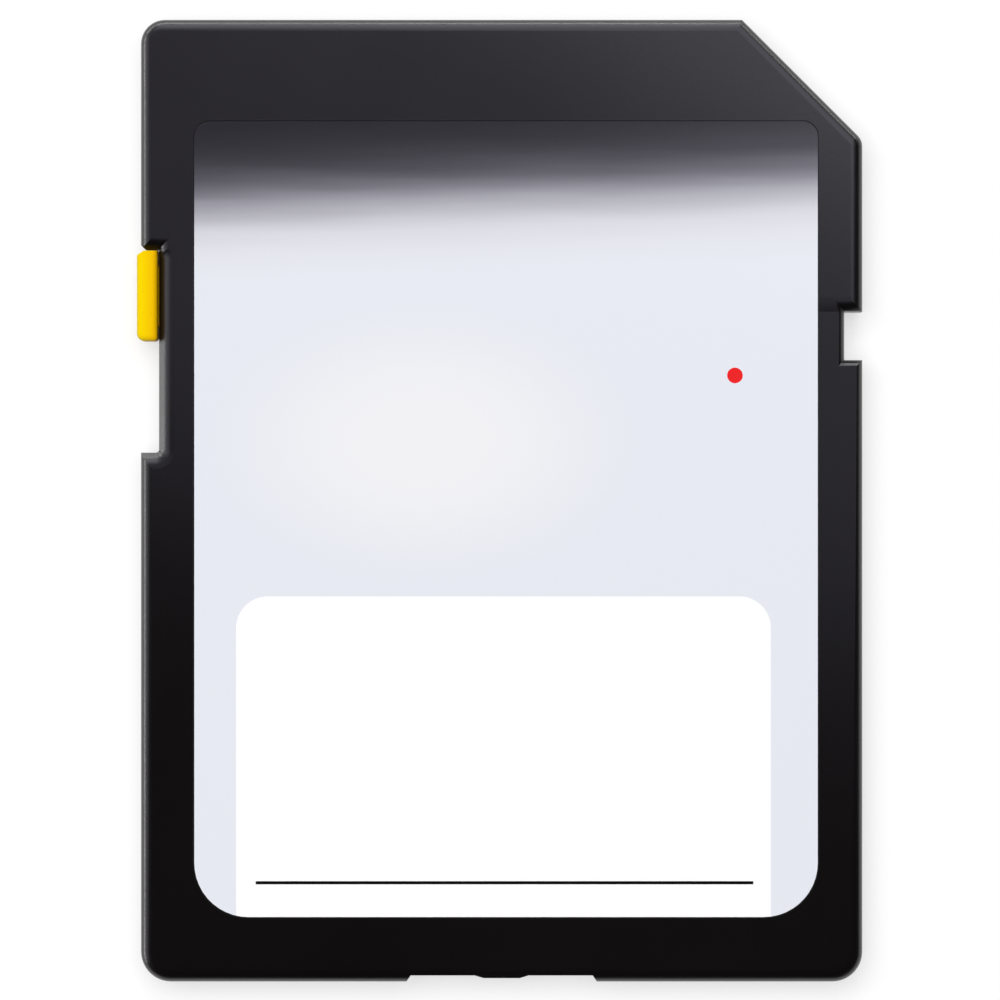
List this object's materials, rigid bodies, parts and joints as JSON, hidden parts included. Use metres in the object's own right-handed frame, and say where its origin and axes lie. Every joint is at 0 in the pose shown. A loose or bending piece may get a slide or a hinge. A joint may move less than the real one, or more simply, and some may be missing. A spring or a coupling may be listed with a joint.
{
  "type": "sd memory card",
  "caption": "Flat full-size flash memory card with a cut corner, a printed label, a sliding write-protect tab and a comb of recessed gold contacts on its back.",
  "frame": {"origin": "middle of the card's outline, on the plane of its back face", "axes": "+Z out of the label side, +Y to the leading edge where the contacts are, +X to the side with the corner cut"},
  "size_m": [0.0241, 0.032, 0.0021],
  "materials": {
    "housing_plastic": "fine moulded texture, black polycarbonate blend",
    "slider_plastic": "smooth moulded, yellow",
    "label_film": "satin printed film",
    "board_laminate": "green solder mask over glass laminate",
    "contact_gold": "hard gold plating over nickel",
    "chip_resin": "matt moulding resin",
    "capacitor_ceramic": "fired ceramic with tinned ends",
    "resistor_ceramic": "glazed ceramic with tinned ends"
  },
  "bodies": {
    "card": {"front_cover": "housing_plastic", "back_cover": "housing_plastic", "front_label": "label_film", "circuit_board": "board_laminate", "memory_package": "chip_resin", "controller_package": "chip_resin", "contact_1": "contact_gold", "contact_2": "contact_gold", "contact_3": "contact_gold", "contact_4": "contact_gold", "contact_5": "contact_gold", "contact_6": "contact_gold", "contact_7": "contact_gold", "contact_8": "contact_gold", "contact_9": "contact_gold", "capacitor_1": "capacitor_ceramic", "capacitor_2": "capacitor_ceramic", "capacitor_3": "capacitor_ceramic", "capacitor_4": "capacitor_ceramic", "capacitor_5": "capacitor_ceramic", "capacitor_6": "capacitor_ceramic", "resistor_1": "resistor_ceramic", "resistor_2": "resistor_ceramic", "resistor_3": "resistor_ceramic", "resistor_4": "resistor_ceramic", "resistor_5": "resistor_ceramic"},
    "slider": {"lock_slider": "slider_plastic"}
  },
  "joints": [
    {"name": "lock_slide", "type": "slide", "parent": "card", "child": "slider", "axis": [0, -1, 0], "range_m": [0, 0.00366]}
  ]
}
